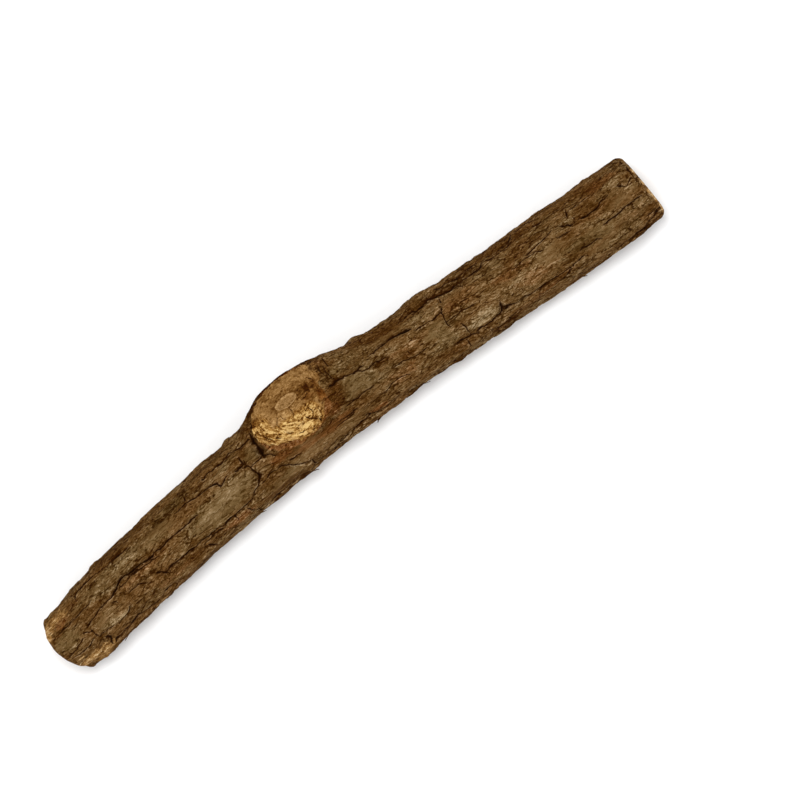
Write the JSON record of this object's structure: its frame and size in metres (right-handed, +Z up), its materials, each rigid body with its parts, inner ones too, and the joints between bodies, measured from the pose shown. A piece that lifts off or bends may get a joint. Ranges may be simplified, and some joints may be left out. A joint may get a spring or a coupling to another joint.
{
  "type": "silver vine stick",
  "caption": "A slim, gently bowed length of silver vine for a cat to chew, with furrowed bark, a pruned knot near its middle and cut ends.",
  "frame": {"origin": "centre of the bounding box in X and Y, on the surface that the stick rests on", "axes": "+X along the stick from its rounded end to its sawn end, +Y towards the side that the knot leans to, +Z up, away from the surface"},
  "size_m": [0.1204, 0.0184, 0.0143],
  "materials": {
    "bark": "rough dry bark, matte, with bare wood at the knot and the cut ends"
  },
  "bodies": {
    "root": {"silver_vine_stick": "bark"}
  },
  "joints": []
}
